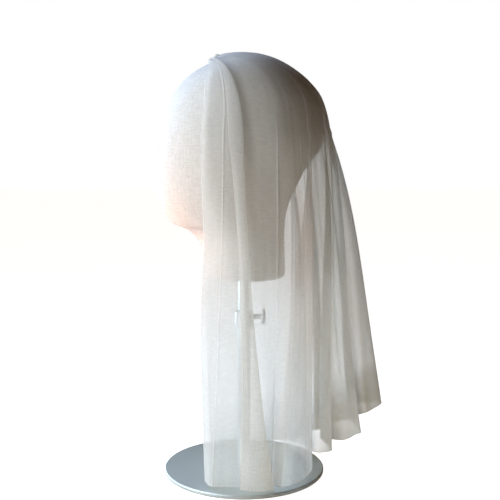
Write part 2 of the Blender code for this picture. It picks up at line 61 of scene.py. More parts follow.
# Head form: a row for each level, from the crown to the underside, as in the source: its
# height, the y of its front and of its back, and its half width
HEAD_ROWS = (
    (0.5130, -0.0040, -0.0040, 0.0000),
    (0.5117, -0.0205, 0.0152, 0.0195),
    (0.5083, -0.0315, 0.0297, 0.0345),
    (0.5026, -0.0427, 0.0440, 0.0470),
    (0.4930, -0.0600, 0.0597, 0.0597),
    (0.4800, -0.0745, 0.0752, 0.0693),
    (0.4600, -0.0875, 0.0897, 0.0762),
    (0.4277, -0.0979, 0.0966, 0.0795),
    (0.4028, -0.1023, 0.0930, 0.0780),
    (0.3793, -0.1043, 0.0755, 0.0735),
    (0.3515, -0.1037, 0.0612, 0.0665),
    (0.3332, -0.1004, 0.0540, 0.0605),
    (0.3204, -0.0942, 0.0508, 0.0560),
    (0.3116, -0.0855, 0.0500, 0.0530),
    (0.3060, -0.0720, 0.0497, 0.0510),
    (0.2970, -0.0602, 0.0496, 0.0495),
    (0.2840, -0.0525, 0.0497, 0.0488),
    (0.2650, -0.0485, 0.0502, 0.0485),
    (0.2515, -0.0468, 0.0505, 0.0485),
)
HEAD_BOTTOM = 0.2465
HEAD_CORNER = 0.005
HEAD_EGG = 0.10
HEAD_CENTRE = mathutils.Vector((0.0, -0.003, 0.4277))
HEAD_GIRTH_RADIUS = 0.088
SOCKET_RADIUS = 0.0068
SOCKET_DEPTH = 0.0403
HEAD_SIDES = 120
HEAD_CORNER_STEPS = 6
HEAD_REACH_LEAST = 0.02
HEAD_REACH_MOST = 0.16
HEAD_REACH_HALVINGS = 18
HEAD_SHARP_ANGLE = 50.0

# Veil: a row for each fold, from the cut edge on the near side to the middle of the back, as in
# the source. turn is the fold's direction from the head's middle at the brow, in degrees from +X
# towards +Y. bow swings it back over the crown. lift is its height over the head at the brow,
# stack its extra height at the heading, and knee its y at knee height.
VEIL_COLUMNS = ("turn", "bow", "lift", "stack", "knee", "hem_x", "hem_y", "hem_z")
VEIL_FOLDS = {
    "cut_edge": (-9.0, 0.0, 0.0080, 0.0056, -0.0015, 0.0985, -0.0040, 0.0120),
    "top_layer": (-4.0, -2.0, 0.0083, 0.0057, 0.0070, 0.1040, 0.0170, 0.0120),
    "over_c": (0.8, -5.0, 0.0080, 0.0055, 0.0146, 0.1005, 0.0335, 0.0120),
    "fold_c": (1.8, -5.0, 0.0066, 0.0042, 0.0158, 0.0970, 0.0354, 0.0120),
    "under_c": (0.6, -5.0, 0.0052, 0.0028, 0.0140, 0.0942, 0.0320, 0.0122),
    "middle_layer": (-5.5, 0.0, 0.0050, 0.0027, -0.0040, 0.0915, 0.0020, 0.0124),
    "crease_b": (-12.6, 4.0, 0.0053, 0.0029, -0.0288, 0.0893, -0.0362, 0.0122),
    "over_a": (-29.4, 2.0, 0.0051, 0.0028, -0.0474, 0.0745, -0.0447, 0.0120),
    "fold_a": (-30.6, 2.0, 0.0036, 0.0014, -0.0491, 0.0705, -0.0450, 0.0120),
    "under_a": (-29.1, 2.0, 0.0023, 0.0000, -0.0465, 0.0675, -0.0415, 0.0124),
    "inner_front": (-13.0, 0.0, 0.0023, 0.0000, -0.0150, 0.0700, -0.0130, 0.0126),
    "inner_middle": (4.0, 0.0, 0.0024, 0.0000, 0.0110, 0.0765, 0.0140, 0.0124),
    "crease_d": (27.3, 0.0, 0.0034, 0.0000, 0.0375, 0.0835, 0.0330, 0.0121),
    "crease_g": (36.0, 0.0, 0.0028, 0.0000, 0.0558, 0.0898, 0.0437, 0.0120),
    "side_panel": (40.0, 1.0, 0.0027, 0.0000, 0.0640, 0.0850, 0.0587, 0.0134),
    "crease_e": (44.5, 2.0, 0.0036, 0.0000, 0.0724, 0.0748, 0.0735, 0.0180),
    "fold_f": (51.0, 4.0, 0.0046, 0.0002, 0.0788, 0.0610, 0.0806, 0.0240),
    "return_1": (53.0, 4.0, 0.0036, 0.0001, 0.0740, 0.0330, 0.0700, 0.0310),
    "valley_1": (54.7, 4.0, 0.0025, 0.0000, 0.0550, -0.0010, 0.0480, 0.0365),
    "valley_1_back": (56.7, 4.0, 0.0025, 0.0000, 0.0590, -0.0030, 0.0540, 0.0370),
    "rise_1": (59.0, 4.0, 0.0032, 0.0001, 0.0750, 0.0160, 0.0725, 0.0375),
    "tube_1_start": (61.5, 3.0, 0.0045, 0.0002, 0.0850, 0.0425, 0.0845, 0.0378),
    "tube_1": (65.0, 2.0, 0.0048, 0.0003, 0.0950, 0.0475, 0.0955, 0.0385),
    "tube_1_edge": (69.0, 2.0, 0.0048, 0.0002, 0.1030, 0.0425, 0.1070, 0.0410),
    "valley_2": (71.5, 1.0, 0.0028, 0.0000, 0.0920, 0.0120, 0.0950, 0.0450),
    "valley_2_back": (73.7, 1.0, 0.0028, 0.0000, 0.0960, 0.0110, 0.1000, 0.0460),
    "tube_2_start": (76.5, 0.0, 0.0052, 0.0002, 0.1035, 0.0325, 0.1110, 0.0490),
    "tube_2": (80.0, 0.0, 0.0062, 0.0003, 0.1095, 0.0345, 0.1245, 0.0503),
    "tube_2_crease": (83.5, 0.0, 0.0067, 0.0003, 0.1150, 0.0300, 0.1372, 0.0550),
    "tube_2_edge": (87.0, 0.0, 0.0071, 0.0003, 0.1290, 0.0260, 0.1435, 0.0580),
    "valley_3": (89.3, 0.0, 0.0034, 0.0001, 0.1220, 0.0010, 0.1310, 0.0670),
    "valley_3_back": (91.3, 0.0, 0.0034, 0.0001, 0.1260, 0.0000, 0.1360, 0.0690),
    "back_start": (94.0, 0.0, 0.0070, 0.0003, 0.1380, 0.0180, 0.1465, 0.0775),
    "back_panel": (97.0, 0.0, 0.0077, 0.0004, 0.1500, 0.0110, 0.1585, 0.0800),
    "back_point": (102.0, 0.0, 0.0079, 0.0004, 0.1592, -0.0060, 0.1735, 0.0850),
}
FAR_SIDE_STOPS_AT = "fold_a"
FAR_SIDE_LEAVES_OUT = ("under_a", "side_panel", "tube_1", "tube_2")
FAR_SIDE_TURN_SCALE = 0.81
FAR_SIDE_TURN_STEP = 11.0
FAR_SIDE_DEPTH = 0.026
FAR_SIDE_HEM_DROP = 0.0045
FAR_SIDE_DEPTH_SCALE = 0.62
FAR_SIDE_UNEVEN = 0.08
FAR_SIDE_UNEVEN_WAVE = (0.45, 0.6)
FAR_SIDE_SHIFT = 0.004
FAR_SIDE_SHIFT_WAVE = 0.6
FAR_SIDE_PLEAT_SCALE = 0.75
LEAST_LIFT = 0.0023
CLOTH_SOFTNESS = 0.002
BROW_HEIGHT = 0.4277
KNEE_HEIGHT = 0.170
CROWN_RISE = 1.0
BELLY = 0.0175
NECK_TUCK = 0.014
NECK_HEIGHT = 0.300
NECK_SPREAD = 0.055
GATHER_HALF_WIDTH = 0.034
GATHER_FRONT = -0.0370
GATHER_DEPTH = 0.010
GATHER_START_ANGLE = -8.0
GATHER_LIFT = 0.0034
CROWN_EASE = 4.0

# What the cloth has beyond the source's folds: creases, gathers and ripples, in metres where
# they are sizes, and in shares of the way from the heading to the hem where they are places
VEIL_STEPS_PER_FOLD = 6
VEIL_CROWN_STEPS = 26
VEIL_DROP_STEPS = 64
PRESSED_CREASES = {
    # height, and the share of the way down where it starts
    "crease_b": (0.0010, 0.02),
    "crease_d": (0.0010, 0.26),
    "crease_g": (0.0004, 0.40),
    "crease_e": (0.0008, 0.30),
    "fold_f": (0.0009, 0.10),
}
PRESSED_WIDTH = 0.0010
PRESSED_FADE_IN = 0.12
PRESSED_COLUMNS = 12
PRESSED_PLACES = (0.012, 0.025, 0.045, 0.07, 0.11)
GATHER_PLEAT = 0.00035
GATHER_PLEAT_REACH = 0.10
GATHER_PLEAT_FADE = 1.5
GATHER_UNEVEN = 0.35
GATHER_UNEVEN_WAVE = (1.9, 0.4)
HANGING_RIPPLE = 0.0007
RIPPLE_START = 0.35
FINE_RIPPLE_SHARE = 0.55
FINE_RIPPLE_WIDTH = 0.0036
FINE_RIPPLE_WANDER = 1.1
FINE_RIPPLE_WANDER_WIDTH = 0.041
FINE_RIPPLE_SLANT = 0.7
BROAD_RIPPLE_WIDTH = 0.0083
BROAD_RIPPLE_SLANT = 2.0

# The net: how close it is drawn at the crown, and low down where the folds spread. A row that
# isn't here has PLAIN_NET. Near the hem it closes further, because the edge is rolled in.
PLAIN_NET = (1.0, 1.0)
NET_CLOSENESS = {
    "fold_c": (1.0, 0.5),
    "under_c": (0.9, 0.9),
    "middle_layer": (0.85, 0.88),
    "crease_b": (0.9, 0.95),
    "over_a": (0.85, 1.12),
    "fold_a": (0.85, 1.12),
    "under_a": (0.85, 1.12),
    "inner_front": (0.85, 1.05),
    "crease_d": (1.0, 1.55),
    "crease_g": (1.25, 1.75),
    "side_panel": (1.35, 0.95),
    "crease_e": (1.35, 0.70),
    "fold_f": (1.2, 0.58),
    "return_1": (1.7, 0.55),
    "valley_1": (1.7, 0.55),
    "valley_1_back": (1.7, 0.55),
    "rise_1": (1.55, 0.50),
    "tube_1_start": (1.5, 0.5),
    "tube_1": (1.5, 0.72),
    "tube_1_edge": (1.7, 1.7),
    "valley_2": (1.7, 1.7),
    "valley_2_back": (1.7, 2.3),
    "tube_2_start": (1.7, 1.9),
    "tube_2": (1.9, 1.2),
    "tube_2_crease": (2.0, 1.3),
    "tube_2_edge": (2.0, 1.6),
    "valley_3": (1.7, 1.5),
    "valley_3_back": (1.7, 1.5),
    "back_start": (1.7, 1.3),
    "back_panel": (1.7, 1.3),
    "back_point": (1.7, 1.2),
}
HEM_NET = 2.2
HEM_NET_BEHIND = 3.4
BEHIND_STARTS_AFTER = "rise_1"
OPEN_HEMS = ("side_panel", "crease_e")
OPEN_HEM_NET = 1.0
HEM_NET_REACH = 0.062
HEM_THREAD_RADIUS = 0.00035

# Heading
HEADING_HALF_WIDTH = 0.0026
HEADING_HALF_HEIGHT = 0.0017
HEADING_LIFT = 0.0039
HEADING_NEAR_RISE = 0.0026
HEADING_NEAR_SHARE = 0.22
HEADING_INSET = 0.0032
HEADING_END = 0.01
HEADING_STEPS = 230
HEADING_SIDES = 18
HEADING_PUCKERS = 46
HEADING_PUCKER_DEPTH = 0.12
HEADING_PUCKER_WANDER = (0.8, 9.0)
HEADING_PUCKER_TWIST = 0.9
HEADING_ROUND_END = 0.035
HEADING_BLUNT_END = 0.001
STITCH_PLACES = 60
STITCH_POINTS = 9
STITCH_ARC = (0.12, 0.88)
STITCH_STANDS_OUT = 1.02
STITCH_LEAN = 0.0005
STITCH_RADIUS = 0.00022
STITCH_SEED = 7

# Patterns: the part of its range that a noise fills, plain noise on a flat place, and the same
# part of a noise turned to how much closer or more open than the mean the net is
NOISE_FILLS = (0.3, 0.7)
FLAT_NOISE = {"noise_dimensions": "2D", "Scale": 1.0, "Detail": 1.0}
NET_UNEVENNESS = {1: 0.3, 2: 0.7, 3: 0.93, 4: 1.07}

# Studio lamps: sizes in metres, spread in degrees, power in watts. Only the large ones are seen
# in the steel. The sky light is cool, and the bounces are warm.
LAMP_COLUMNS = ("place", "aim", "size", "spread", "power", "tint", "reflects")
LAMPS = {
    "key_window": ((0.50, -0.92, 0.62), (0.03, 0.0, 0.30), 0.8, 180.0, 14.2, "ECF6FF", True),
    "low_window": ((0.46, -0.44, 0.12), (0.05, 0.0, 0.16), 0.30, 180.0, 0.74, "FFF0E4", False),
    "back_window": ((-0.66, -0.76, 0.16), (0.0, -0.03, 0.12), 0.6, 180.0, 8.1, "C9EBFF", True),
    "sky_light": ((-0.24, -0.54, 0.95), (0.0, -0.07, 0.46), 0.4, 180.0, 5.7, "A8CAFF", True),
    "warm_bounce": ((0.03, -0.18, 0.26), (0.01, -0.07, 0.33), 0.08, 180.0, 0.12, "FF8216", False),
    "room_bounce": ((0.48, 0.30, 0.06), (0.05, 0.09, 0.03), 0.3, 105.0, 0.40, "FFEFC8", False),
}


def smooth_between(values, position):
    """The value at a position along a list, on a Catmull-Rom curve through its values."""
    last = len(values) - 1
    index = min(int(position), last - 1)
    share = position - index
    before = values[max(index - 1, 0)]
    start, end = values[index], values[index + 1]
    after = values[min(index + 2, last)]
    curve = 2.0 * start + (end - before) * share
    curve += (2.0 * before - 5.0 * start + 4.0 * end - after) * share ** 2
    curve += (3.0 * start - before - 3.0 * end + after) * share ** 3
    return 0.5 * curve


def finer_head_levels(steps=6):
    """The head form's rows with smooth levels between them, sorted by height."""
    columns = list(zip(*HEAD_ROWS))
    count = (len(HEAD_ROWS) - 1) * steps
    levels = [
        tuple(smooth_between(column, index / steps) for column in columns)
        for index in range(count + 1)
    ]
    return sorted(levels)


HEAD_LEVELS = finer_head_levels()
HEAD_HEIGHTS = [level[0] for level in HEAD_LEVELS]


def head_section(height):
    """Front, back and half width of the head form at a height."""
    place = bisect.bisect_left(HEAD_HEIGHTS, height)
    if place == 0:
        return HEAD_LEVELS[0][1:]
    if place == len(HEAD_LEVELS):
        return HEAD_LEVELS[-1][1:]
    low, high = HEAD_LEVELS[place - 1], HEAD_LEVELS[place]
    share = (height - low[0]) / max(high[0] - low[0], 1e-9)
    return tuple(a + (b - a) * share for a, b in zip(low[1:], high[1:]))


def head_outline_point(front, back, half_width, angle):
    """A point of the head's egg shaped section; angle 0 is the back, 90 degrees is +X."""
    middle, half_depth = (front + back) / 2.0, (back - front) / 2.0
    width = half_width * (1.0 + HEAD_EGG * math.cos(angle))
    return width * math.sin(angle), middle + half_depth * math.cos(angle)


def in_head(x, y, z):
    """Whether a point lies inside the head form."""
    if z >= HEAD_HEIGHTS[-1]:
        return False
    front, back, half_width = head_section(z)
    middle, half_depth = (front + back) / 2.0, max((back - front) / 2.0, 1e-6)
    along = (y - middle) / half_depth
    if abs(along) >= 1.0:
        return False
    widest = half_width * (1.0 + HEAD_EGG * along) * math.sqrt(1.0 - along ** 2)
    return abs(x) < widest


def head_reach(direction):
    """Distance from the head's centre to its surface in a direction."""
    inside, outside = HEAD_REACH_LEAST, HEAD_REACH_MOST
    across, along, up = direction
    for _ in range(HEAD_REACH_HALVINGS):
        middle = (inside + outside) / 2.0
        y, z = HEAD_CENTRE.y + along * middle, HEAD_CENTRE.z + up * middle
        if in_head(HEAD_CENTRE.x + across * middle, y, z):
            inside = middle
        else:
            outside = middle
    return inside


def lift_off_head(point, lift):
    """The point, moved out from the head's centre until it clears the surface by the lift."""
    offset = point - HEAD_CENTRE
    direction = offset.normalized()
    least = head_reach(direction) + lift
    extra = offset.length - least
    if extra > 4.0 * CLOTH_SOFTNESS:
        return point
    eased = CLOTH_SOFTNESS * math.log(1.0 + math.exp(extra / CLOTH_SOFTNESS))
    return HEAD_CENTRE + direction * (least + eased)


def over_head(x, y, lift):
    """The point at a lift over the head form, above a place in plan."""
    direction = head_top_at(x, y)
    return HEAD_CENTRE + direction * (head_reach(direction) + lift)


def head_top_at(x, y):
    """Direction from the head's centre to its surface right above a place in plan."""
    height = HEAD_ROWS[3][0]
    for _ in range(4):
        direction = (mathutils.Vector((x, y, height)) - HEAD_CENTRE).normalized()
        height = (HEAD_CENTRE + direction * head_reach(direction)).z
    return direction


def veil_fold_rows():
    """Every fold's row as a dictionary, round the veil from one cut edge to the other."""
    rows = {name: dict(zip(VEIL_COLUMNS, row)) for name, row in VEIL_FOLDS.items()}
    names = list(rows)
    for number, name in enumerate(names):
        row = rows[name]
        row["crown_net"], row["spread_net"] = NET_CLOSENESS.get(name, PLAIN_NET)
        row["hem_net"] = HEM_NET_BEHIND if number > names.index(BEHIND_STARTS_AFTER) else HEM_NET
        if name in OPEN_HEMS:
            row["hem_net"] = OPEN_HEM_NET
    middle_turn = rows[names[-1]]["turn"] + FAR_SIDE_TURN_STEP / 2.0
    repeated = [
        name for name in reversed(names[names.index(FAR_SIDE_STOPS_AT):-1])
        if name not in FAR_SIDE_LEAVES_OUT
    ]
    wave_step, wave_start = FAR_SIDE_UNEVEN_WAVE
    far_rows = []
    for number, name in enumerate(repeated):
        near = rows[name]
        uneven = 1.0 + FAR_SIDE_UNEVEN * math.sin(wave_step * number + wave_start)
        shift = FAR_SIDE_SHIFT * math.sin(FAR_SIDE_SHIFT_WAVE * number)
        back_from_middle = middle_turn - FAR_SIDE_TURN_STEP - near["turn"]
        far_rows.append({
            **near,
            "turn": middle_turn + back_from_middle * FAR_SIDE_TURN_SCALE,
            "bow": -near["bow"] * FAR_SIDE_TURN_SCALE,
            "lift": LEAST_LIFT + (near["lift"] - LEAST_LIFT) * FAR_SIDE_PLEAT_SCALE,
            "stack": 0.0,
            "knee": near["knee"] + shift,
            "hem_x": -(FAR_SIDE_DEPTH + FAR_SIDE_DEPTH_SCALE * near["hem_x"]) * uneven,
            "hem_y": near["hem_y"] + shift,
            "hem_z": near["hem_z"] - FAR_SIDE_HEM_DROP,
        })
    return list(rows.values()) + far_rows


def gather_curve(share, inset=0.0):
    """A place in plan on the curve of the heading, from the near end to the far end."""
    angle = math.radians(GATHER_START_ANGLE + (180.0 - 2.0 * GATHER_START_ANGLE) * share)
    x = (GATHER_HALF_WIDTH - inset) * math.cos(angle)
    y = GATHER_FRONT + (GATHER_DEPTH - inset) * math.sin(angle)
    return x, y


def through_three(drop, knee_share, start, knee, end):
    """A smooth value along a drop that passes through three given values."""
    bow = knee - (start + (end - start) * knee_share)
    bow *= drop * (1.0 - drop) / (knee_share * (1.0 - knee_share))
    return start + (end - start) * drop + bow


def fold_path(row, first_turn, last_turn):
    """Points down one fold, from the heading over the head form to the hem."""
    share = (row["turn"] - first_turn) / (last_turn - first_turn)
    start_direction = head_top_at(*gather_curve(share))
    start_lift = GATHER_LIFT + row["stack"]
    angle = math.radians(row["turn"])
    brow_direction = mathutils.Vector((math.cos(angle), math.sin(angle), 0.0))
    bowed = math.radians(row["turn"] + row["bow"])
    above_brow = mathutils.Vector((math.cos(bowed), math.sin(bowed), CROWN_RISE)).normalized()
    path = []
    for step in range(VEIL_CROWN_STEPS + 1):
        down = step / VEIL_CROWN_STEPS
        direction = start_direction * (1.0 - down) ** 2 + brow_direction * down ** 2
        direction = (direction + above_brow * 2.0 * down * (1.0 - down)).normalized()
        lift = start_lift + (row["lift"] - start_lift) * down ** CROWN_EASE
        path.append(HEAD_CENTRE + direction * (head_reach(direction) + lift))
    brow = path[-1]
    back_share = max(math.sin(angle), 0.0) ** 2
    front_share = max(-math.sin(angle), 0.0) ** 2
    knee_share = (BROW_HEIGHT - KNEE_HEIGHT) / (BROW_HEIGHT - row["hem_z"])
    for step in range(1, VEIL_DROP_STEPS + 1):
        drop = step / VEIL_DROP_STEPS
        height = BROW_HEIGHT + (row["hem_z"] - BROW_HEIGHT) * drop
        x = brow.x + (row["hem_x"] - brow.x) * drop
        y = through_three(drop, knee_share, brow.y, row["knee"], row["hem_y"])
        y += NECK_TUCK * front_share * math.exp(-((height - NECK_HEIGHT) / NECK_SPREAD) ** 2)
        bulge = BELLY * back_share * math.sin(math.pi * drop) * (1.0 - drop) ** 2
        point = mathutils.Vector((x + bulge * math.cos(angle), y + bulge * math.sin(angle), height))
        path.append(lift_off_head(point, row["lift"]))
    return path


def column_places(fold_count):
    """Where the cloth has lines of points, counted in folds. They crowd at a pressed crease."""
    places = {step / VEIL_STEPS_PER_FOLD for step in range(fold_count * VEIL_STEPS_PER_FOLD + 1)}
    names = list(VEIL_FOLDS)
    for name in PRESSED_CREASES:
        for away in PRESSED_PLACES:
            places |= {names.index(name) - away, names.index(name) + away}
    return sorted(places)


def veil_middle_surface():
    """The cloth through the folds, as rows of points from one cut edge to the other."""
    rows = veil_fold_rows()
    places = column_places(len(rows) - 1)
    turns = [row["turn"] for row in rows]
    paths = [fold_path(row, min(turns), max(turns)) for row in rows]
    surface = []
    for level in zip(*paths):
        columns = [[point[axis] for point in level] for axis in range(3)]
        surface.append([
            mathutils.Vector([smooth_between(column, place) for column in columns])
            for place in places
        ])
    return surface, places


def surface_normal(surface, level, column):
    """The surface's normal at one of its points."""
    up = surface[max(level - 1, 0)][column]
    down = surface[min(level + 1, len(surface) - 1)][column]
    left = surface[level][max(column - 1, 0)]
    right = surface[level][min(column + 1, len(surface[0]) - 1)]
    return (right - left).cross(down - up).normalized()


def widths_along(row):
    """How far along the cloth each point of a row lies, in metres."""
    total, along = 0.0, [0.0]
    for start, end in zip(row, row[1:]):
        total += (end - start).length
        along.append(total)
    return along


def gather_wave(fold):
    """How far a gather stands out under the heading, at a place counted in folds."""
    wave_step, wave_start = GATHER_UNEVEN_WAVE
    uneven = 1.0 - GATHER_UNEVEN + GATHER_UNEVEN * math.sin(wave_step * fold + wave_start)
    return GATHER_PLEAT * uneven * math.sin(2.0 * math.pi * fold)


def hanging_wave(along, down):
    """How far the loose cloth stands out, at a place along the hem and a share of the way down."""
    wander = FINE_RIPPLE_WANDER * math.sin(along / FINE_RIPPLE_WANDER_WIDTH)
    fine = math.sin(along / FINE_RIPPLE_WIDTH + wander + FINE_RIPPLE_SLANT * down)
    broad = math.sin(along / BROAD_RIPPLE_WIDTH + BROAD_RIPPLE_SLANT * down)
    return HANGING_RIPPLE * (FINE_RIPPLE_SHARE * fine + (1.0 - FINE_RIPPLE_SHARE) * broad)


def ripple_veil(surface, places):
    """The cloth with its gathers, its pressed creases and its soft hanging ripples."""
    widths = widths_along(surface[-1])
    names = list(VEIL_FOLDS)
    creases = [
        (places.index(float(names.index(name))), height, start)
        for name, (height, start) in PRESSED_CREASES.items()
    ]
    rippled = []
    for level, row in enumerate(surface):
        down = level / (len(surface) - 1)
        gathered = max(1.0 - down / GATHER_PLEAT_REACH, 0.0) ** GATHER_PLEAT_FADE
        hanging = max(down - RIPPLE_START, 0.0) / (1.0 - RIPPLE_START)
        new_row = []
        for column, point in enumerate(row):
            offset = gathered * gather_wave(places[column])
            offset += hanging * hanging_wave(widths[column], down)
            normal = surface_normal(surface, level, column)
            outwards = 1.0 if normal.dot(point - HEAD_CENTRE) > 0.0 else -1.0
            for crease, height, start in creases:
                if abs(column - crease) < PRESSED_COLUMNS:
                    pressed = min(max(down - start, 0.0) / PRESSED_FADE_IN, 1.0)
                    away = (point - row[crease]).length
                    offset += outwards * height * pressed * math.exp(-(away / PRESSED_WIDTH) ** 2)
            new_row.append(point + normal * offset)
        rippled.append(new_row)
    return rippled


def place_camera():
    """The camera at the photograph's viewing angle."""
    lens = bpy.data.cameras.new("photo_camera")
    lens.lens = CAMERA_LENS
    lens.sensor_width = CAMERA_SENSOR
    camera = bpy.data.objects.new("photo_camera", lens)
    camera.location = CAMERA_PLACE
    camera.rotation_euler = (math.radians(90.0 - CAMERA_DIP), 0.0, math.radians(90.0))
    bpy.context.scene.collection.objects.link(camera)
    bpy.context.scene.camera = camera


def linear_colour(hex_colour):
    """The linear colour, with full alpha, of an sRGB hex value such as F4EFE6."""
    channels = [int(hex_colour[place:place + 2], 16) / 255.0 for place in (0, 2, 4)]
    linear = [
        channel / 12.92 if channel <= 0.04045 else ((channel + 0.055) / 1.055) ** 2.4
        for channel in channels
    ]
    return (*linear, 1.0)


def add_node(tree, kind, settings=None, links=None):
    """A node with its settings, and with what feeds its sockets."""
    node = tree.nodes.new(kind)
    for name, value in (settings or {}).items():
        if isinstance(name, int) or name in node.inputs:
            node.inputs[name].default_value = value
        else:
            setattr(node, name, value)
    for name, source in (links or {}).items():
        tree.links.new(source, node.inputs[name])
    return node


def new_material(name):
    """An empty material and its output."""
    material = bpy.data.materials.new(name)
    material.use_nodes = True
    tree = material.node_tree
    tree.nodes.clear()
    return material, tree, tree.nodes.new("ShaderNodeOutputMaterial")


def ramp_between(tree, source, low, high, start=NOISE_FILLS[0], end=NOISE_FILLS[1]):
    """A colour that runs from low to high as the source goes from start to end."""
    share = add_node(tree, "ShaderNodeMapRange", {1: start, 2: end, 3: 0.0, 4: 1.0}, {0: source})
    mixed = add_node(tree, "ShaderNodeMix", {"data_type": "RGBA"}, {0: share.outputs[0]})
    mixed.inputs[6].default_value = linear_colour(low)
    mixed.inputs[7].default_value = linear_colour(high)
    return mixed.outputs[2]


def soft_tulle():
    """Soft ivory nylon tulle, bobbin net. Each layer lets most light by, so the eye counts them."""
    material, tree, output = new_material("soft_ivory_nylon_tulle")
    place = add_node(tree, "ShaderNodeUVMap", {"uv_map": "cloth_mm"}).outputs[0]
    # The real net has holes of 0.6 mm; it is drawn at 1.5 mm, the finest that the render can show
    net = add_node(tree, "ShaderNodeTexVoronoi", {
        "feature": "DISTANCE_TO_EDGE", "voronoi_dimensions": "2D",
        "Scale": 1.0 / 1.5, "Randomness": 0.9,
    }, {"Vector": place})
    threads_at = add_node(tree, "ShaderNodeMapRange", {1: 0.02, 2: 0.32, 3: 1.30, 4: 0.83},
                          {0: net.outputs["Distance"]})
    # Rows of holes that run across the net, broken up every 8 mm
    row_place = add_node(tree, "ShaderNodeMapping", {"Scale": (1.0 / 8.0, 1.0 / 1.5, 1.0)},
                         {"Vector": place})
    hole_rows = add_node(tree, "ShaderNodeTexNoise", FLAT_NOISE, {"Vector": row_place.outputs[0]})
    rowed = add_node(tree, "ShaderNodeMapRange", NET_UNEVENNESS, {0: hole_rows.outputs[0]})
    # Soft vertical streaks where the net is pulled closer, some 9 mm wide and 90 mm long
    streak_place = add_node(tree, "ShaderNodeMapping", {"Scale": (1.0 / 9.0, 1.0 / 90.0, 1.0)},
                            {"Vector": place})
    streaks = add_node(tree, "ShaderNodeTexNoise", FLAT_NOISE, {"Vector": streak_place.outputs[0]})
    pulled = add_node(tree, "ShaderNodeMapRange", NET_UNEVENNESS, {0: streaks.outputs[0]})
    # The folds' own closeness comes with the cloth
    drawn = add_node(tree, "ShaderNodeSeparateXYZ", {}, {
        0: add_node(tree, "ShaderNodeUVMap", {"uv_map": "net_closeness"}).outputs[0],
    })
    closeness = threads_at
    for share in (rowed, pulled, drawn):
        closeness = add_node(tree, "ShaderNodeMath", {"operation": "MULTIPLY"},
                             {0: closeness.outputs[0], 1: share.outputs[0]})
    # At a slant more threads stand in the way: what gets through is 0.62 ^ (closeness / cosine)
    slant = add_node(tree, "ShaderNodeLayerWeight", {"Blend": 0.5})
    facing = add_node(tree, "ShaderNodeMath", {"operation": "SUBTRACT", 0: 1.0},
                      {1: slant.outputs["Facing"]})
    cosine = add_node(tree, "ShaderNodeMath", {"operation": "MAXIMUM", 1: 0.36},
                      {0: facing.outputs[0]})
    layers = add_node(tree, "ShaderNodeMath", {"operation": "DIVIDE"},
                      {0: closeness.outputs[0], 1: cosine.outputs[0]})
    passed = add_node(tree, "ShaderNodeMath", {"operation": "POWER", 0: 0.62},
                      {1: layers.outputs[0]})
    lit = add_node(tree, "ShaderNodeBsdfPrincipled", {
        "Base Color": linear_colour("EBEAE7"), "Roughness": 0.75,
        "Sheen Weight": 0.15, "Specular IOR Level": 0.3,
    })
    glow = add_node(tree, "ShaderNodeBsdfTranslucent", {"Color": linear_colour("E9E8E4")})
    threads = add_node(tree, "ShaderNodeMixShader", {0: 0.55},
                       {1: lit.outputs[0], 2: glow.outputs[0]})
    clear = add_node(tree, "ShaderNodeBsdfTransparent", {"Color": (1.0, 1.0, 1.0, 1.0)})
    both = add_node(tree, "ShaderNodeMixShader", {}, {
        0: passed.outputs[0], 1: threads.outputs[0], 2: clear.outputs[0],
    })
    tree.links.new(both.outputs[0], output.inputs[0])
    return material


def half_clear_cloth(tree, output, lit, colour, glow_share, clear_share):
    """The end of a thin cloth's material: lit, with light through it, and in part clear."""
    glow = add_node(tree, "ShaderNodeBsdfTranslucent", {}, {"Color": colour})
    solid = add_node(tree, "ShaderNodeMixShader", {0: glow_share},
                     {1: lit.outputs[0], 2: glow.outputs[0]})
    clear = add_node(tree, "ShaderNodeBsdfTransparent")
    both = add_node(tree, "ShaderNodeMixShader", {0: clear_share},
                    {1: solid.outputs[0], 2: clear.outputs[0]})
    tree.links.new(both.outputs[0], output.inputs[0])


def hem_thread():
    """Fine ivory polyester thread, twisted. It gives each edge of the net its thin bright line."""
    material, tree, output = new_material("ivory_polyester_thread")
    place = add_node(tree, "ShaderNodeTexCoord").outputs["Object"]
    # Twist marks 0.8 mm apart
    twist = add_node(tree, "ShaderNodeTexNoise", {"Scale": 1.0 / 0.0008, "Detail": 1.0},
                     {"Vector": place})
    colour = ramp_between(tree, twist.outputs[0], "E4E1DA", "FAF8F3")
    lit = add_node(tree, "ShaderNodeBsdfPrincipled", {"Roughness": 0.6, "Sheen Weight": 0.2},
                   {"Base Color": colour})
    half_clear_cloth(tree, output, lit, colour, glow_share=0.35, clear_share=0.45)
    return material


def gathered_binding():
    """Tulle gathered into a soft roll. Its many layers look dense, with small puckers."""
    material, tree, output = new_material("gathered_tulle_binding")
    place = add_node(tree, "ShaderNodeTexCoord").outputs["Object"]
    # The net is crumpled at 4 mm, too fine for its own holes to show
    crumple = add_node(tree, "ShaderNodeTexNoise", {"Scale": 1.0 / 0.004, "Detail": 3.0},
                       {"Vector": place})
    colour = ramp_between(tree, crumple.outputs[0], "E6E3DB", "F6F4EE")
    bump = add_node(tree, "ShaderNodeBump", {"Strength": 0.4, "Distance": 0.0004},
                    {"Height": crumple.outputs[0]})
    lit = add_node(tree, "ShaderNodeBsdfPrincipled", {"Roughness": 0.8, "Sheen Weight": 0.2},
                   {"Base Color": colour, "Normal": bump.outputs[0]})
    half_clear_cloth(tree, output, lit, colour, glow_share=0.5, clear_share=0.30)
    return material


